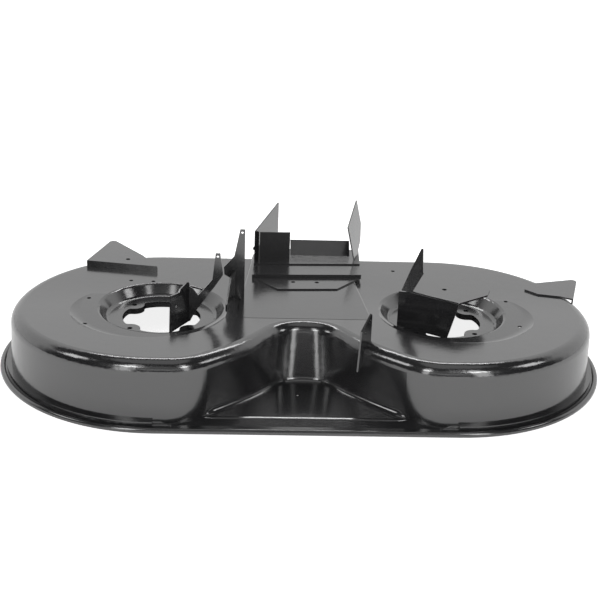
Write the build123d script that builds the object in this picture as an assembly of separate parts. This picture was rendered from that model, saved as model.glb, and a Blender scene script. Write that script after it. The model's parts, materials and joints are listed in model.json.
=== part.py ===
"""Lawn mower deck: a pressed twin-spindle pan with the sheet parts welded to it.

Millimetres. +X is to the viewer's right, +Y to the rear (discharge side), +Z up.
The lowest point of the rolled rim is at Z = 0. The pan is laid out about the two
spindles and then moved along Y, so that the middle of the whole part is at Y = 0.
"""

import math
import os

from build123d import *

# Pan
SHEET = 2.5              # pressed sheet
SPINDLE_X = 250.0        # spindle centre from the plane of symmetry
WALL_R = 262.0           # side wall about a spindle, at the foot of the shoulder
WALL_DRAFT = 2.0         # degrees the wall opens towards the rim
FLAT_Z = 104.0           # flat rear part of the top
CROWN_SLOPE = 2.6        # degrees the top climbs towards the front
CROWN_START_Y = 48.0     # line where that climb begins
CROWN_BLEND = 60.0       # half length of the soft bend at that line
SHOULDER_R = 21.0        # outside radius between top and wall

# Front V notch and its shelf. Each outline starts at the back of the V and runs out past the
# front wall; a point is its share of SPINDLE_X across and of WALL_R ahead of the spindles
V_TOP_Z = 110.0          # height of the upper outline
V_TOP = ((0.0, 0.29), (0.15, 0.337), (0.25, 0.475), (0.434, 0.718), (0.618, 0.88), (0.95, 1.19))
V_FOOT = ((0.0, 0.397), (0.14, 0.425), (0.25, 0.53), (0.436, 0.718), (0.622, 0.88), (0.95, 1.17))
HUMP_R = 100.0           # round-over from V flank to front wall
SHELF_Z = 13.0           # top of the shelf that closes the V, height of the lower outline
SHELF_BACK = 18.0        # shelf edge behind the front wall
DRAIN_R = 3.0            # drain hole in the shelf
DRAIN_X = -11.0
DRAIN_BACK = 102.0       # drain hole behind the front wall

# Rim
FLANGE_Z = 7.0           # top of the flat flange at the foot of the wall
FLANGE_W = 15.0          # from the foot of the wall to the middle of the roll
COVE_R = 9.0             # hollow between wall and flange
COVE_END = 30.0          # run over which the hollow dies out at the V
ROLL_R = 5.0             # rolled edge
FOOT_R = WALL_R + (FLAT_Z - SHOULDER_R - FLANGE_Z) * math.tan(math.radians(WALL_DRAFT))

# Volute step and discharge tunnel
DISH_X = 271.0           # centre of the round step in the top
DISH_Y = -7.0
DISH_R = 137.0           # foot of the step
DISH_DRAFT = 45.0        # degrees of the step's slope
DISH_SOFT_R = 40.0       # hollow at the foot of the step
DISH_TILT = 1.0          # degrees the floor inside the step falls to the front
TUNNEL_Z = 109.0         # top of the tunnel between the two rounds
TUNNEL_FRONT = 116.0     # half width of the tunnel at the spindle line
TUNNEL_SPLAY = 6.0       # degrees each side closes in to the rear
TUNNEL_DRAFT = 22.0
TUNNEL_EDGE_R = 5.0
MOUTH_Z = 32.0           # lower edge of the discharge mouth in the rear wall
MOUTH_SIDE = 12.0        # sheet left between mouth and tunnel side

# Spindle seats
SEAT_Z = 84.0
SEAT_R = 97.0            # seat floor
SEAT_DRAFT = 34.0        # degrees of the seat's side
SEAT_EDGE_R = 8.0
CREST_R = 6.0            # rounded upper edge of the seat
BORE_R = 69.0            # lobed opening, to the tips of its lobes
LOBE_R = 18.0            # ear round each bolt that closes in on the opening
LOBE_EDGE_R = 7.0
BOLT_PCD = 147.0
BOLT_HOLE_R = 4.6
BACK_PLATE = 8.0         # reinforcing plate under each seat
BACK_PLATE_R = 92.0

# Small holes in the top
TOP_HOLE_R = 3.6
TOP_HOLES = ((-313.0, 120.0), (-272.0, 118.0), (-381.0, 32.0), (-376.0, -79.0), (338.0, 116.0),
             (373.0, 50.0), (379.0, -59.0), (180.0, 193.0), (218.0, 193.0))

# Sheet parts on top of the pan
PLATE = 3.0              # bracket sheet
WING = 2.5               # chute sheet
EAR_HOLE_R = 4.2
PIN_HOLE_R = 3.6
LINK_HOLE_R = 2.2        # small holes at the tips of the left ears
CORNER_LIFT = 8.0        # left corner plate above the flat top
CORNER_R = 8.0           # rounded outer tips of the corner plates
LIP_SINK = 9.0           # turned-down lips reach this far below the flat top
BELT_Z = 152.0           # underside of the right belt bracket plate
BELT_BEND_R = 2.5        # bend at the front of the right belt bracket
LEFT_CORNER = ((-402.0, 191.0), (-364.0, 310.0), (-298.0, 222.0), (-268.0, 166.0))
LEFT_CORNER_HOLE = (-325.0, 201.0)
RIGHT_CORNER = ((418.0, 106.0), (439.0, 84.0), (479.0, 74.0), (500.0, 62.0), (529.0, 162.0), (443.0, 138.0))
LEFT_BELT = ((-200.0, -16.0), (-227.0, -64.0))
RIGHT_BELT = ((179.0, -28.0), (264.0, -84.0), (320.0, -44.0), (328.0, -20.0), (322.0, 36.0), (200.0, 36.0))
RIGHT_BELT_HOLE = (247.0, -22.0)
ARM_FOOT = (-204.0, -14.0)
POST_CORNER = (-121.0, 36.0)
POST_TOE = (-136.0, -30.0)
EAR_RUN = ((178.0, -23.0), (218.0, -49.0))
EAR_LEAN = 35.0
RETURN_RUN = ((180.0, -27.0), (168.0, -16.0))
HANGER_RUN = ((118.0, -134.0), (86.0, -189.4))

# Chute, standing a little askew on the tunnel
CHUTE_NOSE = ((-77.0, 114.0), (-43.0, 74.0), (66.0, 80.0))
CHUTE_STEP_LINE = ((-90.0, 130.0), (114.0, 139.0))
CHUTE_FLOOR_LINE = ((-87.0, 178.0), (115.0, 187.0))
CHUTE_REAR_LINE = ((-82.0, 262.0), (118.0, 262.0))
CHUTE_STEP = 6.0         # rise of the step in the base plate
CHUTE_HOLE_R = 4.0
CHUTE_HOLES = ((-14.0, 109.0), (30.0, 109.0))
LEFT_WING = ((-86.0, 200.0), (-41.0, 305.0))
LEFT_WING_TOP = (57.0, 80.0)
RIGHT_WING = ((104.0, 206.0), (131.0, 305.0))
RIGHT_WING_LEAN = 13.0
GUARD_TAB = ((-75.5, 216.0), (-18.0, 218.5))
GUARD_TAB_TALL = 50.0
ROOF_X = (-16.0, 98.0)
ROOF_Y = 227.0
ROOF_RUN = 24.0
ROOF_RISE = 23.0
RIVET_R = 3.5
RIVET_TALL = 5.0
RIVET_UP = 19.0


def flat_plate(points, z, thick):
    """A level plate over a plan outline, z being its underside."""
    return extrude(Plane.XY.offset(z) * Polygon(*points, align=None), thick, dir=(0, 0, 1))


def standing(start, end, lean=0.0, z=0.0):
    """A plane through two plan points, leaning to the left of the run by some degrees."""
    run_x = end[0] - start[0]
    run_y = end[1] - start[1]
    tilt = math.tan(math.radians(lean)) * math.hypot(run_x, run_y)
    return Plane((start[0], start[1], z), x_dir=(run_x, run_y, 0), z_dir=(run_y, -run_x, tilt))


def upright(start, end, profile, thick, holes=(), lean=0.0, z=0.0):
    """A standing plate: profile is (along, height) in the plane from start to end."""
    plane = standing(start, end, lean, z)
    face = Polygon(*profile, align=None)
    for along, height, radius in holes:
        face = face - Pos(along, height) * Circle(radius)
    return extrude(plane * face, thick, dir=plane.z_dir)


def across(point, radius):
    """A round cutter standing on Z through everything."""
    return Pos(point[0], point[1], 0) * Cylinder(radius, 900)


def stadium(radius):
    return SlotCenterToCenter(2 * SPINDLE_X, 2 * radius)


def half_space(origin, along, normal):
    """A very large box on the side of a plane that its normal points to."""
    plane = Plane(origin, x_dir=along, z_dir=normal)
    return plane * Box(1600, 1600, 1600, align=(Align.CENTER, Align.CENTER, Align.MIN))


def v_outline(z, grow):
    """Plan of the V notch at a height, a smooth spline moved into the pan by an amount."""
    share = (z - SHELF_Z) / (V_TOP_Z - SHELF_Z)
    half = []
    for foot, top in zip(V_FOOT, V_TOP):
        x, y = (low + share * (high - low) for low, high in zip(foot, top))
        half.append((x * SPINDLE_X, -y * WALL_R))
    line = [(-x, y) for x, y in half[:0:-1]] + half
    points = []
    for before, here, after in zip([line[0]] + line, line, line[1:] + [line[-1]]):
        turn = math.atan2(after[1] - before[1], after[0] - before[0])
        points.append((here[0] - grow * math.sin(turn), here[1] + grow * math.cos(turn)))
    far = -2 * WALL_R
    rest = Polyline(points[-1], (points[-1][0], far), (points[0][0], far), points[0])
    return Plane.XY.offset(z) * make_face([Spline(*points), *rest.edges()])


def v_notch(grow):
    """The V as a block: straight rulings from the lower outline to the upper one."""
    return loft([v_outline(SHELF_Z - 70, grow), v_outline(V_TOP_Z + 60, grow)], ruled=True)


def crown(inset):
    """Everything above the top of the pan: level behind, climbing to the front."""
    level = FLAT_Z - inset
    slope = math.radians(CROWN_SLOPE)
    start = (CROWN_START_Y + CROWN_BLEND, level)
    end = (CROWN_START_Y - CROWN_BLEND * math.cos(slope), level + CROWN_BLEND * math.sin(slope))
    far = 420.0
    climb = end[1] + (end[0] + far) * math.tan(slope)
    bend = TangentArc(start, end, tangent=(-1, 0))
    rest = Polyline(end, (-far, climb), (-far, 300), (far, 300), (far, level), start)
    plane = Plane((-700, 0, 0), x_dir=(0, 1, 0), z_dir=(1, 0, 0))
    return extrude(plane * make_face([bend, *rest.edges()]), 1400, dir=(1, 0, 0))


def raw_pan(inset):
    """The pan as a full block: drafted wall, V notch, sloping top, rounded shoulder."""
    level = FLAT_Z - SHOULDER_R
    below = 40.0
    radius = WALL_R - inset + (level + below) * math.tan(math.radians(WALL_DRAFT))
    block = extrude(Plane.XY.offset(-below) * stadium(radius), level + below + 70, taper=WALL_DRAFT)
    block = block - v_notch(inset) - crown(inset)
    rising = [e for e in block.edges() if abs(e.tangent_at(0.5).Z) > 0.8]
    outer = [e for e in rising if e.center().Y < -0.8 * WALL_R and abs(e.center().X) < SPINDLE_X - 5]
    block = fillet(outer, HUMP_R - inset)
    tops = [f for f in block.faces() if f.normal_at(f.center()).Z > 0.95]
    edges = [e for f in tops for e in f.edges()]
    rim = [e for e in edges if edges.count(e) == 1]
    return fillet(rim, SHOULDER_R - inset)


def tunnel_half(y):
    """Half width of the tunnel's foot at a place along Y."""
    return TUNNEL_FRONT - y * math.tan(math.radians(TUNNEL_SPLAY))


def tunnel(inset):
    """The raised discharge way between the two rounds, as a block."""
    low = FLAT_Z - 30
    rise = TUNNEL_Z - inset - low
    spread = (FLAT_Z - inset - low) * math.tan(math.radians(TUNNEL_DRAFT)) - inset
    flush = CROWN_START_Y - (TUNNEL_Z - FLAT_Z) / math.tan(math.radians(CROWN_SLOPE))
    edge = SHOULDER_R - V_TOP[0][1] * WALL_R
    start = max(flush, edge)
    near = start - 60
    far = WALL_R + 60
    front = tunnel_half(near) + spread
    rear = tunnel_half(far) + spread
    plan = Polygon((-front, near), (front, near), (rear, far), (-rear, far), align=None)
    block = extrude(Plane.XY.offset(low) * plan, rise, taper=TUNNEL_DRAFT)
    lines = [e for e in block.edges() if e.center().Z > low + rise - 0.01 and abs(e.tangent_at(0.5).Y) > 0.9]
    block = fillet(lines, TUNNEL_EDGE_R)
    depth = WALL_R - inset - start
    return block & Pos(0, start + depth / 2, low) * Box(600, depth, 400)


def dish(inset):
    """Cutter for the round step in the climbing top, on the right."""
    rise = 40.0
    spread = rise * math.tan(math.radians(DISH_DRAFT))
    cone = Cone(DISH_R + inset, DISH_R + inset + spread, rise, align=(Align.CENTER, Align.CENTER, Align.MIN))
    cone = fillet(cone.edges().sort_by(Axis.Z)[0], DISH_SOFT_R + inset)
    sink = (DISH_Y - 20) * math.tan(math.radians(DISH_TILT))
    return Pos(DISH_X, DISH_Y, FLAT_Z - inset + sink) * Rot(X=DISH_TILT) * cone


def seat(inset):
    """Cutter for the sunk spindle seat on the right."""
    rise = 40.0
    low = SEAT_R + inset
    spread = rise * math.tan(math.radians(SEAT_DRAFT))
    cone = Cone(low, low + spread, rise, align=(Align.CENTER, Align.CENTER, Align.MIN))
    cone = fillet(cone.edges().sort_by(Axis.Z)[0], SEAT_EDGE_R + inset)
    return Pos(SPINDLE_X, 0, SEAT_Z - inset) * cone


def on_seat_side(point, inset):
    """Whether a point lies high on the sloping side of the right spindle seat."""
    reach = math.hypot(point.X - SPINDLE_X, point.Y)
    cone = SEAT_R + inset + (point.Z - SEAT_Z + inset) * math.tan(math.radians(SEAT_DRAFT))
    return point.Z > SEAT_Z + 8 and abs(reach - cone) < 0.5


def round_crest(block, inset):
    """The sharp upper edge of the right spindle seat rounded off."""
    steps = (0.05, 0.35, 0.65, 0.95)
    crest = [e for e in block.edges() if all(on_seat_side(e.position_at(t), inset) for t in steps)]
    return fillet(crest, CREST_R - inset)


def body(inset):
    """The pressed shape as a full block, every surface moved in by inset; the right half is mirrored."""
    block = raw_pan(inset) - dish(inset) + tunnel(inset)
    half = block & Pos(700, 0, 0) * Box(1400, 1400, 600)
    half = round_crest(half - seat(inset), inset)
    return half + mirror(half, about=Plane.YZ)


def bolt_points(side):
    """The four bolt positions of a spindle seat."""
    reach = BOLT_PCD / 2
    turns = [math.radians(45 + 90 * k) for k in range(4)]
    return [(side * SPINDLE_X + reach * math.cos(t), reach * math.sin(t)) for t in turns]


def seat_opening(side):
    """The lobed spindle opening with its bolt holes, as one cutter."""
    face = Pos(side * SPINDLE_X, 0) * Circle(BORE_R)
    for x, y in bolt_points(side):
        face = face - Pos(x, y) * Circle(LOBE_R)
    face = fillet(face.vertices(), LOBE_EDGE_R)
    for x, y in bolt_points(side):
        face = face + Pos(x, y) * Circle(BOLT_HOLE_R)
    return extrude(Plane.XY.offset(SEAT_Z - 40) * face, 60)


def rolled_rim():
    """The flat flange at the foot of the wall and the roll at its edge."""
    middle = FOOT_R + FLANGE_W
    flange = extrude(Plane.XY.offset(FLANGE_Z - SHEET) * (stadium(middle) - stadium(FOOT_R - SHEET)), SHEET)
    roll = extrude(stadium(middle + ROLL_R) - stadium(middle - ROLL_R), 2 * ROLL_R)
    return flange + fillet(roll.edges(), ROLL_R - 0.3)


def cove():
    """The hollow between wall and flange; it dies out at both sides of the V."""
    foot = FOOT_R - 0.6
    low = FLANGE_Z - SHEET / 2
    ring = extrude(Plane.XY.offset(low) * (stadium(foot + COVE_R) - stadium(foot - 1)), FLANGE_Z + COVE_R - low)
    middle = foot + COVE_R
    high = FLANGE_Z + COVE_R
    for side in (-1, 1):
        half = Plane((side * SPINDLE_X, 0, 0), x_dir=(0, -side, 0), z_dir=(side, 0, 0))
        round_end = revolve(half * Pos(middle, high) * Circle(COVE_R), Axis((side * SPINDLE_X, 0, 0), (0, 0, 1)), 180)
        ring = ring - round_end
        line = Plane((-SPINDLE_X, side * middle, high), x_dir=(0, 1, 0), z_dir=(1, 0, 0))
        ring = ring - extrude(line * Circle(COVE_R), 2 * SPINDLE_X)
    open_x = SPINDLE_X - COVE_END - 4
    cut = Polygon((-open_x, low), (open_x, low), (open_x + COVE_END, high + 1), (-open_x - COVE_END, high + 1), align=None)
    front = Plane((0, 0, 0), x_dir=(1, 0, 0), z_dir=(0, -1, 0))
    return ring - extrude(front * cut, 2 * FOOT_R, dir=(0, -1, 0))


def shelf():
    """The low shelf that closes the V notch, with its front edge sloping to the flange."""
    back = 40 - V_FOOT[0][1] * WALL_R
    edge = SHELF_BACK - WALL_R
    drop = SHELF_Z - SHEET
    low = FLANGE_Z - SHEET
    profile = ((back, SHELF_Z), (edge, SHELF_Z), (-FOOT_R, FLANGE_Z), (-FOOT_R - 2, FLANGE_Z),
               (-FOOT_R - 2, low), (-FOOT_R, low), (edge, drop), (back, drop))
    wide = 2 * (SPINDLE_X - 12)
    side = Plane((-wide / 2, 0, 0), x_dir=(0, 1, 0), z_dir=(1, 0, 0))
    sheet = extrude(side * Polygon(*profile, align=None), wide, dir=(1, 0, 0))
    return sheet - raw_pan(1.0) - across((DRAIN_X, DRAIN_BACK - WALL_R), DRAIN_R)


def deck_shell(block):
    """The whole pressed sheet: pan, rim, shelf, mouth and holes."""
    shell = block - body(SHEET)
    shell = shell - Pos(0, 0, FLANGE_Z - SHEET - 100) * Box(1400, 900, 200)
    shell = shell + rolled_rim() + cove() + shelf()
    wide = 2 * (tunnel_half(WALL_R) - MOUTH_SIDE)
    tall = TUNNEL_Z - SHEET - MOUTH_Z
    shell = shell - Pos(0, WALL_R, MOUTH_Z + tall / 2) * Box(wide, 60, tall)
    for side in (-1, 1):
        shell = shell - seat_opening(side)
    for point in TOP_HOLES:
        shell = shell - across(point, TOP_HOLE_R)
    for point in CHUTE_HOLES:
        shell = shell - across(point, CHUTE_HOLE_R)
    return shell


def spindle_plate(side):
    """The reinforcing plate welded under a spindle seat."""
    plate = extrude(Plane.XY.offset(SEAT_Z - SHEET - BACK_PLATE) * Circle(BACK_PLATE_R), BACK_PLATE)
    return Pos(side * SPINDLE_X, 0, 0) * plate - seat_opening(side)


def chute_base():
    """Stepped sheet on the tunnel: low front flange with two holes, high rear shelf."""
    low = TUNNEL_Z
    high = TUNNEL_Z + CHUTE_STEP
    left, right = CHUTE_STEP_LINE
    long = math.dist(left, right)
    front = flat_plate((left, *CHUTE_NOSE, right), low, WING)
    riser = upright(left, right, ((0, low), (long, low), (long, high + WING), (0, high + WING)), WING)
    rear = flat_plate((left, right, CHUTE_REAR_LINE[1], CHUTE_REAR_LINE[0]), high, WING)
    plate = front + riser + rear
    for point in CHUTE_HOLES:
        plate = plate - across(point, CHUTE_HOLE_R)
    return plate


def chute_floor():
    """Second sheet on the high shelf, which carries the wings, tab and roof."""
    return flat_plate((*CHUTE_FLOOR_LINE, CHUTE_REAR_LINE[1], CHUTE_REAR_LINE[0]), TUNNEL_Z + CHUTE_STEP + WING, WING)


def chute_wings(foot):
    """The two skewed side sheets of the chute."""
    long = math.dist(*LEFT_WING)
    left = upright(*LEFT_WING, ((0, 0), (long, 0), (long, LEFT_WING_TOP[1]), (0, LEFT_WING_TOP[0])), WING, z=foot)
    long = math.dist(*RIGHT_WING)
    profile = ((0, 0), (0.25 * long, 0), (0.7 * long, 14), (long, 40), (long, 88), (0, 66))
    right = upright(*RIGHT_WING, profile, WING, lean=RIGHT_WING_LEAN, z=foot)
    return left, right


def chute_rivet(foot):
    """Headed stub on the outside of the left wing."""
    start, end = LEFT_WING
    run = ((end[0] - start[0]) / math.dist(start, end), (end[1] - start[1]) / math.dist(start, end))
    place = (start[0] + 9 * run[0], start[1] + 9 * run[1], foot + RIVET_UP)
    stub = Cylinder(RIVET_R, RIVET_TALL, align=(Align.CENTER, Align.CENTER, Align.MIN))
    return Plane(place, x_dir=(0, 0, 1), z_dir=(-run[1], run[0], 0)) * stub


def round_tip(plate, point):
    """A plate with the upright edge nearest a plan point rounded."""
    upright_edges = [e for e in plate.edges() if abs(e.tangent_at(0.5).Z) > 0.9]
    tip = min(upright_edges, key=lambda e: math.dist((e.center().X, e.center().Y), point))
    return fillet(tip, CORNER_R)


def left_corner():
    """Level rear hanger plate over the left rear corner, its front edge turned down."""
    z = FLAT_Z + CORNER_LIFT
    start = LEFT_CORNER[-1]
    end = LEFT_CORNER[0]
    long = math.dist(start, end)
    low = FLAT_Z - LIP_SINK
    plate = flat_plate(LEFT_CORNER, z, PLATE)
    lip = upright(start, end, ((0, low), (long, low), (long, z), (0, z)), PLATE)
    return round_tip(plate + lip, LEFT_CORNER[1]) - across(LEFT_CORNER_HOLE, EAR_HOLE_R)


def right_corner():
    """Hanger plate on the flat top that reaches out over the right shoulder, its end turned down."""
    plate = round_tip(flat_plate(RIGHT_CORNER, FLAT_Z, PLATE), RIGHT_CORNER[4])
    end, start = RIGHT_CORNER[3:5]
    long = math.dist(start, end)
    low = FLAT_Z - LIP_SINK
    lip = upright(start, end, ((CORNER_R, low), (long, low), (long, FLAT_Z + 1), (CORNER_R, FLAT_Z + 1)), PLATE)
    return plate + lip


def left_belt():
    """Left belt bracket: standing plate with a pointed top, its foot on the seat."""
    profile = ((62, SEAT_Z), (59, 152), (33, 149), (29, 154), (5, 160), (0, 155), (0, SEAT_Z))
    return upright(*LEFT_BELT, profile, PLATE, ((43, 129, 4.0),))


def lift_arm():
    """Leaning strap from the left belt bracket up to a drilled ear."""
    profile = ((0, 84), (5, 84), (14, 102), (36, 134), (47, 149), (62, 172), (62, 177), (59, 195), (57.5, 212),
               (49, 212), (48, 200), (44, 164), (38, 156), (19, 133), (10, 146), (0, 152))
    end = (ARM_FOOT[0] + 64, ARM_FOOT[1])
    return upright(ARM_FOOT, end, profile, PLATE, ((53, 206, LINK_HOLE_R),))


def hanger_post():
    """Left hanger: drilled front leg with a wing, and a raked side leg."""
    low = FLAT_Z - 2
    end = (POST_CORNER[0] + 17, POST_CORNER[1])
    profile = ((0, low), (17, low), (17, 239), (8, 239), (-2, 188), (-20, 168), (-19, 154), (-6, 146), (0, 140))
    front = upright(POST_CORNER, end, profile, PLATE, ((12, 233, LINK_HOLE_R),))
    start = (POST_CORNER[0] + PLATE / 2, POST_CORNER[1])
    side = upright(start, POST_TOE, ((0, low), (59, low), (59, 118), (32, 158), (0, 163)), PLATE)
    return front + side


def right_belt():
    """Right belt bracket: raised plate whose front is turned down to the seat."""
    z = BELT_Z
    left, right = RIGHT_BELT[:2]
    long = math.dist(left, right)
    plate = flat_plate(RIGHT_BELT, z, PLATE)
    front = upright(right, left, ((18, SEAT_Z), (long, SEAT_Z), (long, z), (0, z)), PLATE)
    bracket = plate + front
    middle = Vector((left[0] + right[0]) / 2, (left[1] + right[1]) / 2, z + PLATE)
    bend = bracket.edges().sort_by(lambda e: (e.center() - middle).length)[0]
    long = math.dist(*RETURN_RUN)
    back = upright(*RETURN_RUN, ((0, SEAT_Z), (long, SEAT_Z), (long, z - 4), (0, z - 1)), PLATE)
    return fillet(bend, BELT_BEND_R) + back - across(RIGHT_BELT_HOLE, EAR_HOLE_R)


def hanger_ear():
    """Right hanger ear, leaning back on the right belt bracket."""
    profile = ((-5, -4), (14, -4), (24, 35), (15, 59), (9, 77), (6, 77), (2, 52), (-1, 32))
    return upright(*EAR_RUN, profile, PLATE, lean=EAR_LEAN, z=BELT_Z + PLATE)


def front_hanger():
    """Drilled hanger plate across the right flank of the V."""
    profile = ((17, 90), (17, 157), (20, 161), (54, 141), (62, 71), (34, 78))
    return upright(*HANGER_RUN, profile, PLATE, ((24, 150, PIN_HOLE_R), (40, 133, PIN_HOLE_R)))


def build():
    block = body(0)
    foot = TUNNEL_Z + CHUTE_STEP + 2 * WING
    parts = {"deck_shell": deck_shell(block)}
    parts["left_spindle_plate"] = spindle_plate(-1)
    parts["right_spindle_plate"] = spindle_plate(1)
    floor = chute_floor()
    left, right = chute_wings(foot)
    parts["chute_base_plate"] = chute_base()
    parts["chute_floor_plate"] = floor
    parts["chute_left_wing"] = left
    parts["chute_right_wing"] = right - floor
    parts["chute_rivet"] = chute_rivet(foot)
    long = math.dist(*GUARD_TAB)
    tall = foot + GUARD_TAB_TALL
    parts["chute_guard_tab"] = upright(*GUARD_TAB, ((0, foot), (long, foot), (long, tall), (0, tall)), WING)
    start = (ROOF_X[0], ROOF_Y)
    end = (ROOF_X[0], ROOF_Y + ROOF_RUN)
    slope = ((0, 0), (3.5, 0), (ROOF_RUN + 2.5, ROOF_RISE - 2), (ROOF_RUN, ROOF_RISE))
    parts["chute_roof_panel"] = upright(start, end, slope, ROOF_X[1] - ROOF_X[0], z=foot)
    parts["left_corner_bracket"] = left_corner() - block
    parts["right_corner_bracket"] = right_corner() - block
    belt = left_belt()
    parts["left_belt_bracket"] = belt - block
    parts["left_lift_arm"] = lift_arm() - belt - block
    parts["left_hanger_post"] = hanger_post() - block
    belt = right_belt()
    parts["right_belt_bracket"] = belt - block
    parts["right_hanger_ear"] = hanger_ear() - belt
    parts["front_hanger_plate"] = front_hanger() - block
    return parts


if __name__ == "__main__":
    os.makedirs("parts", exist_ok=True)
    made = build()
    lows = [shape.bounding_box().min.Y for shape in made.values()]
    highs = [shape.bounding_box().max.Y for shape in made.values()]
    move_y = -(min(lows) + max(highs)) / 2
    for name, shape in made.items():
        export_step(Pos(0, move_y, 0) * shape, "parts/" + name + ".step")
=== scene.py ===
"""Studio scene of the twin-spindle mower deck: paint, pressed edges of the shelf, light and camera.

Metres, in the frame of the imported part: +X across the machine, +Y to the rear, +Z up,
with Z = 0 at the bottom of the rolled rim.
"""

import json
import math

import bpy
import numpy as np
from mathutils import Matrix, Vector


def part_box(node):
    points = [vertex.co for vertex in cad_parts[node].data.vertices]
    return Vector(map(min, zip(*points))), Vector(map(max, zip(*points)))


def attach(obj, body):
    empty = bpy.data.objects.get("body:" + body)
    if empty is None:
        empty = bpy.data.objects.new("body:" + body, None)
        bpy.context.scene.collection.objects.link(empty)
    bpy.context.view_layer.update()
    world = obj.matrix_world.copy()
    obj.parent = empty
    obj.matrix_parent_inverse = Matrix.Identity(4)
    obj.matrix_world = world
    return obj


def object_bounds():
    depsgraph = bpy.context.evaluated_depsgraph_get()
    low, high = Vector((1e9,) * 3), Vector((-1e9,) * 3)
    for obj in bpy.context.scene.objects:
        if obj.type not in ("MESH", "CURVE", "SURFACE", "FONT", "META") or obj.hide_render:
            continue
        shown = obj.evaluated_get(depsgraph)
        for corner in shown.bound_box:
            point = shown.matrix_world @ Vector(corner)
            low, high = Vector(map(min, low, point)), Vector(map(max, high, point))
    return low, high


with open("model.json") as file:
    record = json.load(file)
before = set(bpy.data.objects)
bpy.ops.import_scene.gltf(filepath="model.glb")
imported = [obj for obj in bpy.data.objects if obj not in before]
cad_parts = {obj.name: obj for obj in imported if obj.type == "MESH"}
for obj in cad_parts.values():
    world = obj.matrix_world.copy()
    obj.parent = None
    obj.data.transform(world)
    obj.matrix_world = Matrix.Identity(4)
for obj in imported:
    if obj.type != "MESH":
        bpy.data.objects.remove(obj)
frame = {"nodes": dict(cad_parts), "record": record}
cad_low, cad_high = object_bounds()

# Places read from the frame
PLATE_LOW, PLATE_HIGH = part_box("right_spindle_plate")
SPINDLE_X = (PLATE_LOW[0] + PLATE_HIGH[0]) / 2
SPINDLE_Y = (PLATE_LOW[1] + PLATE_HIGH[1]) / 2
SIDES = (("left", -1), ("right", 1))

# Camera, measured from the photograph's perspective
CAMERA_ELEVATION = 23.88     # degrees above the horizon
CAMERA_YAW = 2.88            # degrees the view turns to the right of +Y
CAMERA_ROLL = 2.16           # degrees the picture is turned
CAMERA_DISTANCE = 2.421      # from the aim point
CAMERA_AIM_Z = 0.060
CAMERA_REACH = 60.0          # far limit of the view
FOCAL_PX = 1351.0
IMAGE_PX = 598.0
CENTRE_PX = (301.7, 331.5)   # where the optical axis meets the picture
SENSOR_MM = 36.0

# Paint
PAINT_IOR = 2.0
BUMP_STRENGTH = 0.08
BUMP_DEPTH = 0.002
PEEL_SCALE = 420.0
PEEL_SHARE = 0.08            # of the orange peel in the height
WAVE_SCALE = 16.0
RIPPLE_SCALE = 70.0
RIPPLE_SHARE = 0.6           # of the ripple in the height
CLOUD_SCALE = 5.0
DUST_AMOUNT = 0.2
DUST_ROUGHNESS = 0.25        # roughness that full dust adds
CLEAN_ROUGHNESS = 0.12
DUSTY = (0.08, 0.08, 0.08)
# Slot: name, colour, roughness of the clean coat, amount of dust, scale of the waviness
PAINTS = {
    "deck_paint": ("deck gloss black", (0.012, 0.012, 0.013), 0.14, 0.16, 14.0),
    "chute_paint": ("chute gloss black", (0.013, 0.013, 0.014), 0.16, 0.14, 20.0),
    "bracket_paint": ("bracket gloss black", (0.013, 0.013, 0.014), 0.16, 0.12, 24.0),
}

# Shelf in front of the V notch, and the shell's points at its foot
SHELF_Z = 0.013
SHELF_FRONT = SPINDLE_Y - 0.244
DRAIN = (-0.011, SPINDLE_Y - 0.160)
FOOT_NEAR = 0.0004           # a point this close to the shelf's height lies on it
FOOT_FRONT = SHELF_FRONT + 0.001
FOOT_REAR = SPINDLE_Y - 0.05
FOOT_DIGITS = 5              # decimals at which two points are one
DRAIN_CLEAR = 0.01           # points nearer to the drain's centre belong to the hole

# Hollow rounding between the V wall and the shelf
HOLLOW_R = 0.008
HOLLOW_POINTS = 181
HOLLOW_WIDE_AT = (0.04, 0.15)
HOLLOW_WIDE = (0.8, 1.5)     # share of the radius, by distance from the middle
HOLLOW_CLOSE = 0.016         # run over which it closes at each end
HOLLOW_LEAST = 0.0004
HEADING_SPAN = 13            # points over which the direction is evened
ARC_STEPS = 13
BURIED = 0.06                # share of the radius that lies inside the sheet
LEAN_AT = (0.0, 0.035, 0.062, 0.109)
LEAN = (0.289, 0.238, 0.149, 0.0)   # how far the V wall leans back, by distance from the middle

# Pressed front edge of the shelf
EDGE_POINTS = 121
EDGE_PAST = 0.005            # how far it runs past the foot line's ends
EDGE_TAPER = 0.02
EDGE_LEAST = 0.001
EDGE_BACK = -0.0008
EDGE_FRONT = 0.0030
EDGE_STEPS = 9
EDGE_TOP = 0.0009
EDGE_SLOPE = 0.19
EDGE_CURVE = 9.0
EDGE_FOOT = ((0.0046, -0.0009), (0.0047, -0.0022), (-0.0014, -0.0006))

# Floor
FLOOR_HALF = 9.0
FLOOR_Z = -0.0005
FLOOR_COLOUR = (0.86, 0.86, 0.86, 1)
FLOOR_ROUGHNESS = 0.9
# In reflections the floor's glow stops at the deck's rim, a painted shadow under the deck; the step at the
# rim is its soft edge.
FLOOR_GLOW = 0.48            # the floor's own brightness in reflections
FLOOR_SEEN = 0.85            # and to the camera
RIM_SOFT = 0.03              # width of the step at the rim

# Room; each pair is where a step begins and ends
WHITE = (1, 1, 1, 1)
ROOM_FILL = 0.03             # light from all round
BACKDROP_TOP = (0.60, 0.66)
BACKDROP_REAR = (-0.1, 0.3)
LEAST_REACH = 0.02
CEILING_GLOW = 0.55
CEILING_EDGE = (0.91, 0.95)
CARD_GLOW = 0.3              # card above the camera
CARD_HEIGHT = (0.3, 0.45)
CARD_FRONT = (-0.6, -0.75)

# Lamps
LAMP_AZIMUTH = math.radians(28.0)   # to either side of the camera's side
LAMP_DISTANCE = 2.6
LAMP_Z = 1.9
DECK_AIM_Z = 0.1
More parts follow.
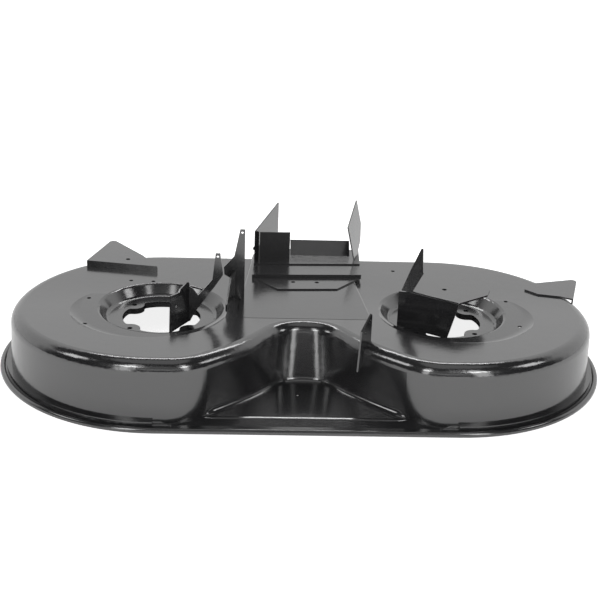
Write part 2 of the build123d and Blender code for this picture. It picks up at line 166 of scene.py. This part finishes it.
# Kind, height of the aim point, size, power
FRONT_LAMPS = (("strip lamp", LAMP_Z, (0.5, 3.6), 17.0), ("head lamp", DECK_AIM_Z, (0.7, 0.45), 8.0))
# Place, aim point, size, power
REAR_BAR = ((0, 1.0, 1.6), (0, -0.2, DECK_AIM_Z), (1.7, 0.2), 8.0)
FRONT_CARD = ((0, -2.0, 0.62), (0, 0, 0.62), (1.3, 0.42), 1.3)
SOFTBOX_PLACE = (1.9, -0.5, 1.5)
SOFTBOX_SIZE = (0.6, 0.6)
SOFTBOX_POWER = 5.0


def new_group(name, inputs, outputs):
    """A shader group with named number sockets; each input is (name, default)."""
    group = bpy.data.node_groups.new(name, "ShaderNodeTree")
    for label, value in inputs:
        socket = group.interface.new_socket(label, in_out="INPUT", socket_type="NodeSocketFloat")
        socket.default_value = value
    for label in outputs:
        group.interface.new_socket(label, in_out="OUTPUT", socket_type="NodeSocketFloat")
    return group


def add(tree, kind, **settings):
    """A node with its settings."""
    node = tree.nodes.new(kind)
    for name, value in settings.items():
        setattr(node, name, value)
    return node


def feed(tree, value, socket):
    """Gives a socket a number, or links another socket to it."""
    if isinstance(value, (int, float)):
        socket.default_value = value
    else:
        tree.links.new(value, socket)


def math_node(tree, operation, *values):
    """A math node; each value is a socket or a number."""
    node = add(tree, "ShaderNodeMath", operation=operation)
    for socket, value in zip(node.inputs, values):
        feed(tree, value, socket)
    return node.outputs[0]


def noise(tree, place, scale, detail):
    """A noise at a place; the scale is a socket or a number."""
    node = add(tree, "ShaderNodeTexNoise")
    node.inputs["Detail"].default_value = detail
    tree.links.new(place, node.inputs["Vector"])
    feed(tree, scale, node.inputs["Scale"])
    return node.outputs["Fac"]


def ramp(tree, value, limits, low, high):
    """A smooth step of a value between two limits."""
    node = add(tree, "ShaderNodeMapRange", interpolation_type="SMOOTHSTEP")
    start, end = limits
    for name, number in (("From Min", start), ("From Max", end), ("To Min", low), ("To Max", high)):
        node.inputs[name].default_value = number
    tree.links.new(value, node.inputs["Value"])
    return node.outputs["Result"]


def paint_skin():
    """Group: orange peel and thin dust of a sprayed coat on a pressed sheet.

    Height is a fine noise, a ripple of finger width and a slow waviness. Dust is a soft cloud mask.
    """
    group = new_group(
        "paint_skin",
        [("Peel Scale", PEEL_SCALE), ("Wave Scale", WAVE_SCALE), ("Ripple", RIPPLE_SHARE),
         ("Dust Amount", DUST_AMOUNT), ("Gloss", CLEAN_ROUGHNESS)],
        ["Height", "Roughness", "Dust"],
    )
    inp = add(group, "NodeGroupInput")
    out = add(group, "NodeGroupOutput")
    place = add(group, "ShaderNodeTexCoord").outputs["Object"]
    peel = noise(group, place, inp.outputs["Peel Scale"], 1.0)
    wave = noise(group, place, inp.outputs["Wave Scale"], 2.0)
    ripple = noise(group, place, RIPPLE_SCALE, 1.0)
    height = math_node(group, "MULTIPLY", peel, PEEL_SHARE)
    height = math_node(group, "ADD", height, wave)
    ripple = math_node(group, "MULTIPLY", ripple, inp.outputs["Ripple"])
    height = math_node(group, "ADD", height, ripple)
    group.links.new(height, out.inputs["Height"])
    cloud = noise(group, place, CLOUD_SCALE, 6.0)
    dust = math_node(group, "MULTIPLY", cloud, inp.outputs["Dust Amount"])
    group.links.new(dust, out.inputs["Dust"])
    rough = math_node(group, "MULTIPLY", dust, DUST_ROUGHNESS)
    rough = math_node(group, "ADD", rough, inp.outputs["Gloss"])
    group.links.new(rough, out.inputs["Roughness"])
    return group


def black_paint(skin, name, colour, gloss, dust, wave):
    """Gloss black paint: a dark base under a clear skin, with a breath of dust."""
    material = bpy.data.materials.new(name)
    material.use_nodes = True
    tree = material.node_tree
    shader = tree.nodes["Principled BSDF"]
    shader.inputs["IOR"].default_value = PAINT_IOR
    film = add(tree, "ShaderNodeGroup", node_tree=skin)
    film.inputs["Gloss"].default_value = gloss
    film.inputs["Dust Amount"].default_value = dust
    film.inputs["Wave Scale"].default_value = wave
    tint = add(tree, "ShaderNodeMix", data_type="RGBA")
    tint.inputs["A"].default_value = (*colour, 1)
    tint.inputs["B"].default_value = (*DUSTY, 1)
    tree.links.new(film.outputs["Dust"], tint.inputs["Factor"])
    tree.links.new(tint.outputs["Result"], shader.inputs["Base Color"])
    tree.links.new(film.outputs["Roughness"], shader.inputs["Roughness"])
    bump = add(tree, "ShaderNodeBump")
    bump.inputs["Strength"].default_value = BUMP_STRENGTH
    bump.inputs["Distance"].default_value = BUMP_DEPTH
    tree.links.new(film.outputs["Height"], bump.inputs["Height"])
    tree.links.new(bump.outputs["Normal"], shader.inputs["Normal"])
    return material


def swept_bar(name, path, side, rise, radius, shape, paint):
    """A bar along a path: at each path point the closed shape, times the radius there, is laid out
    along the side vector (first column) and the rise vector (second column). The sign of its volume
    turns the faces outwards."""
    section = shape[None, :, :1] * side[:, None] + shape[None, :, 1:] * rise[:, None]
    rings = path[:, None] + radius[:, None, None] * section
    rows, columns = rings.shape[:2]
    index = np.arange(rows * columns).reshape(rows, columns)
    turned = np.roll(index, -1, axis=1)
    quads = np.stack([index[:-1], index[1:], turned[1:], turned[:-1]], axis=-1).reshape(-1, 4)
    points = rings.reshape(-1, 3)
    corners = (points - points.mean(axis=0))[quads]
    first, second, third, fourth = corners.transpose(1, 0, 2)
    volume = np.sum(first * (np.cross(second, third) + np.cross(third, fourth)))
    if volume < 0:
        quads = quads[:, ::-1]
    mesh = bpy.data.meshes.new(name)
    mesh.from_pydata(points.tolist(), [], quads.tolist())
    mesh.polygons.foreach_set("use_smooth", np.ones(len(quads), dtype=bool))
    mesh.materials.append(paint)
    bar = bpy.data.objects.new(name, mesh)
    bpy.context.collection.objects.link(bar)
    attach(bar, "root")


def foot_line(count):
    """Where the V wall meets the shelf: the shell's own points at the shelf's height, in order across,
    without the drain hole, then evenly spaced along their length."""
    shell = frame["nodes"]["deck_shell"]
    points = np.empty(len(shell.data.vertices) * 3)
    shell.data.vertices.foreach_get("co", points)
    place = np.array(shell.matrix_world)
    points = points.reshape(-1, 3) @ place[:3, :3].T + place[:3, 3]
    level = np.abs(points[:, 2] - SHELF_Z) < FOOT_NEAR
    inside = (points[:, 1] > FOOT_FRONT) & (points[:, 1] < FOOT_REAR)
    solid = np.hypot(points[:, 0] - DRAIN[0], points[:, 1] - DRAIN[1]) > DRAIN_CLEAR
    line = np.unique(points[level & inside & solid].round(FOOT_DIGITS), axis=0)
    steps = np.hypot(*np.diff(line[:, :2], axis=0).T)
    run = np.concatenate([[0], np.cumsum(steps)])
    even = np.linspace(0, run[-1], count)
    return np.column_stack([np.interp(even, run, line[:, axis]) for axis in range(3)]), even


def shelf_hollow(paint):
    """The hollow rounding between V wall and shelf: a quarter circle that is tangent to both, laid
    along the foot line, with a radius that grows to both ends and closes there as a square root."""
    path, run = foot_line(HOLLOW_POINTS)
    heading = np.gradient(path[:, :2], run, axis=0)
    weights = np.hanning(HEADING_SPAN) / np.hanning(HEADING_SPAN).sum()
    padded = np.pad(heading, ((HEADING_SPAN // 2, HEADING_SPAN // 2), (0, 0)), "edge")
    heading = np.column_stack([np.convolve(column, weights, "valid") for column in padded.T])
    heading /= np.linalg.norm(heading, axis=1)[:, None]
    side = np.column_stack([heading[:, 1], -heading[:, 0], np.zeros(HOLLOW_POINTS)])
    from_middle = np.abs(path[:, 0])
    lean = np.interp(from_middle, LEAN_AT, LEAN)
    rise = np.column_stack([np.zeros(HOLLOW_POINTS), lean, np.ones(HOLLOW_POINTS)])
    to_end = np.minimum(run, run[-1] - run)
    fade = np.sqrt(np.clip(to_end / HOLLOW_CLOSE, HOLLOW_LEAST, 1))
    wide = np.interp(from_middle, HOLLOW_WIDE_AT, HOLLOW_WIDE)
    turn = np.linspace(0, math.pi / 2, ARC_STEPS)
    arc = np.column_stack([1 - np.sin(turn), 1 - np.cos(turn)])
    shape = np.vstack([arc, [(-BURIED, 1.0), (-BURIED, -BURIED), (1.0, -BURIED)]])
    swept_bar("shelf_hollow", path, side, rise, HOLLOW_R * wide * fade, shape, paint)


def shelf_edge(paint):
    """The pressed front edge of the shelf: a low crowned bar, steep behind and flat in front, whose
    section is a parabola with its top at the back. It tapers at both ends."""
    ends = foot_line(2)[0][:, 0]
    across = np.linspace(ends[0] - EDGE_PAST, ends[1] + EDGE_PAST, EDGE_POINTS)
    path = np.column_stack([across, np.full(EDGE_POINTS, SHELF_FRONT), np.full(EDGE_POINTS, SHELF_Z)])
    to_end = np.minimum(across - across[0], across[-1] - across)
    scale = np.sqrt(np.clip(to_end / EDGE_TAPER, EDGE_LEAST, 1))
    out = np.linspace(EDGE_BACK, EDGE_FRONT, EDGE_STEPS)
    up = EDGE_TOP - EDGE_SLOPE * (out - EDGE_BACK) - EDGE_CURVE * (out - EDGE_BACK) ** 2
    shape = np.vstack([np.column_stack([out, up]), EDGE_FOOT])
    side = np.tile((0, -1.0, 0), (EDGE_POINTS, 1))
    rise = np.tile((0, 0, 1.0), (EDGE_POINTS, 1))
    swept_bar("shelf_edge", path, side, rise, scale, shape, paint)


def make_floor():
    """A pale floor: a wide level sheet whose own glow shows to the camera and in reflections.

    In reflections the glow begins at the deck's rim, so that under the deck the floor shows a
    painted shadow in reflections: it is a step of the distance from the line between the spindles.
    The lit sheet is added, so that the deck's shadow stays as a faint grey.
    """
    corners = np.array([(-1, -1), (1, -1), (1, 1), (-1, 1)]) * FLOOR_HALF
    points = np.column_stack([corners, np.full(len(corners), FLOOR_Z)])
    mesh = bpy.data.meshes.new("floor")
    mesh.from_pydata(points.tolist(), [], [(0, 1, 2, 3)])
    floor = bpy.data.objects.new("floor", mesh)
    bpy.context.collection.objects.link(floor)
    material = bpy.data.materials.new("pale floor")
    material.use_nodes = True
    tree = material.node_tree
    shader = tree.nodes["Principled BSDF"]
    shader.inputs["Base Color"].default_value = FLOOR_COLOUR
    shader.inputs["Roughness"].default_value = FLOOR_ROUGHNESS
    shader.inputs["Specular IOR Level"].default_value = 0.0
    place = add(tree, "ShaderNodeTexCoord")
    axes = add(tree, "ShaderNodeSeparateXYZ")
    tree.links.new(place.outputs["Object"], axes.inputs[0])
    across = math_node(tree, "ABSOLUTE", axes.outputs["X"])
    across = math_node(tree, "SUBTRACT", across, SPINDLE_X)
    across = math_node(tree, "MAXIMUM", across, 0.0)
    along = math_node(tree, "SUBTRACT", axes.outputs["Y"], SPINDLE_Y)
    across_square = math_node(tree, "MULTIPLY", across, across)
    along_square = math_node(tree, "MULTIPLY", along, along)
    away = math_node(tree, "ADD", across_square, along_square)
    away = math_node(tree, "SQRT", away)
    rim = cad_high[0] - SPINDLE_X
    # Painted shadow in reflections: the floor's glow is nil under the deck and rises to full past its rim.
    glow_with_painted_shadow = ramp(tree, away, (rim - RIM_SOFT, rim), 0.0, FLOOR_GLOW)
    path = add(tree, "ShaderNodeLightPath")
    mirrored = math_node(tree, "MULTIPLY", path.outputs["Is Glossy Ray"], glow_with_painted_shadow)
    seen = math_node(tree, "MULTIPLY", path.outputs["Is Camera Ray"], FLOOR_SEEN)
    glow = add(tree, "ShaderNodeEmission")
    tree.links.new(math_node(tree, "MAXIMUM", seen, mirrored), glow.inputs["Strength"])
    both = add(tree, "ShaderNodeAddShader")
    tree.links.new(shader.outputs[0], both.inputs[0])
    tree.links.new(glow.outputs[0], both.inputs[1])
    tree.links.new(both.outputs[0], tree.nodes["Material Output"].inputs["Surface"])
    mesh.materials.append(material)


def studio_world():
    """White to the camera; for light, a pale backdrop at the rear, a dim ceiling and a dim card above
    the camera.

    The backdrop is curved and lower at its sides: it is a smooth step of the height over the sum of the
    level distance and the part of it to the rear. Ceiling and card are steps of the height. The room is
    their sum and a little light all round.
    """
    world = bpy.data.worlds.new("studio")
    bpy.context.scene.world = world
    world.use_nodes = True
    tree = world.node_tree
    tree.nodes.clear()
    out = add(tree, "ShaderNodeOutputWorld")
    path = add(tree, "ShaderNodeLightPath")
    place = add(tree, "ShaderNodeTexCoord")
    axes = add(tree, "ShaderNodeSeparateXYZ")
    tree.links.new(place.outputs["Generated"], axes.inputs[0])
    rear, height = axes.outputs["Y"], axes.outputs["Z"]
    level = math_node(tree, "SUBTRACT", 1.0, math_node(tree, "MULTIPLY", height, height))
    reach = math_node(tree, "ADD", rear, math_node(tree, "SQRT", level))
    slope = math_node(tree, "DIVIDE", height, math_node(tree, "MAXIMUM", reach, LEAST_REACH))

    backdrop = ramp(tree, slope, BACKDROP_TOP, 1.0, 0.0)
    backdrop = math_node(tree, "MULTIPLY", backdrop, ramp(tree, rear, BACKDROP_REAR, 0.0, 1.0))
    card = ramp(tree, height, CARD_HEIGHT, 0.0, CARD_GLOW)
    card = math_node(tree, "MULTIPLY", card, ramp(tree, rear, CARD_FRONT, 0.0, 1.0))
    room = math_node(tree, "ADD", backdrop, ramp(tree, height, CEILING_EDGE, ROOM_FILL, CEILING_GLOW))
    room = math_node(tree, "ADD", room, card)

    room_light = add(tree, "ShaderNodeBackground")
    room_light.inputs["Color"].default_value = WHITE
    tree.links.new(room, room_light.inputs["Strength"])
    white = add(tree, "ShaderNodeBackground")
    white.inputs["Color"].default_value = WHITE
    white.inputs["Strength"].default_value = 1.0
    mix = add(tree, "ShaderNodeMixShader")
    tree.links.new(path.outputs["Is Camera Ray"], mix.inputs[0])
    tree.links.new(room_light.outputs[0], mix.inputs[1])
    tree.links.new(white.outputs[0], mix.inputs[2])
    tree.links.new(mix.outputs[0], out.inputs["Surface"])


def area_light(name, place, aim, size, power):
    """A soft rectangular lamp at a place, turned to an aim point."""
    data = bpy.data.lights.new(name, "AREA")
    data.shape = "RECTANGLE"
    data.size, data.size_y = size
    data.energy = power
    lamp = bpy.data.objects.new(name, data)
    lamp.location = place
    lamp.rotation_mode = "QUATERNION"
    lamp.rotation_quaternion = (Vector(aim) - Vector(place)).to_track_quat("-Z", "Y")
    bpy.context.collection.objects.link(lamp)


def make_lamps():
    """Strip and head lamps in front at both sides, a bar at the rear, two softboxes and a front card."""
    for word, side in SIDES:
        turn = side * LAMP_AZIMUTH
        place = (LAMP_DISTANCE * math.sin(turn), -LAMP_DISTANCE * math.cos(turn), LAMP_Z)
        for kind, aim_z, size, power in FRONT_LAMPS:
            area_light(word + " " + kind, place, (0, 0, aim_z), size, power)
    area_light("rear bar", *REAR_BAR)
    for word, side in SIDES:
        place = (side * SOFTBOX_PLACE[0], *SOFTBOX_PLACE[1:])
        area_light(word + " softbox", place, (0, 0, DECK_AIM_Z), SOFTBOX_SIZE, SOFTBOX_POWER)
    area_light("front card", *FRONT_CARD)


def make_camera():
    """The photograph's viewpoint: a look-at with yaw, elevation and a small roll."""
    tilt, yaw, roll = (math.radians(v) for v in (CAMERA_ELEVATION, CAMERA_YAW, CAMERA_ROLL))
    ahead = Vector((math.sin(yaw) * math.cos(tilt), math.cos(yaw) * math.cos(tilt), -math.sin(tilt)))
    level = Vector((math.cos(yaw), -math.sin(yaw), 0))
    above = level.cross(ahead)
    right = math.cos(roll) * level + math.sin(roll) * above
    upward = math.cos(roll) * above - math.sin(roll) * level
    data = bpy.data.cameras.new("camera")
    data.sensor_width = SENSOR_MM
    data.lens = FOCAL_PX / IMAGE_PX * SENSOR_MM
    data.shift_x = (IMAGE_PX / 2 - CENTRE_PX[0]) / IMAGE_PX
    data.shift_y = (CENTRE_PX[1] - IMAGE_PX / 2) / IMAGE_PX
    data.clip_end = CAMERA_REACH
    camera = bpy.data.objects.new("camera", data)
    place = Vector((0, SPINDLE_Y, CAMERA_AIM_Z)) - CAMERA_DISTANCE * ahead
    camera.matrix_world = Matrix.Translation(place) @ Matrix((right, upward, -ahead)).transposed().to_4x4()
    bpy.context.collection.objects.link(camera)
    bpy.context.scene.camera = camera


skin = paint_skin()
slot_paint = {slot: black_paint(skin, *values) for slot, values in PAINTS.items()}
for entry in frame["record"]["subparts"]:
    node = frame["nodes"][entry["node"]]
    node.data.materials.clear()
    node.data.materials.append(slot_paint[entry["material_slot"]])

shelf_hollow(slot_paint["deck_paint"])
shelf_edge(slot_paint["deck_paint"])
make_floor()
studio_world()
make_lamps()
make_camera()

bpy.context.scene.view_settings.view_transform = "Standard"
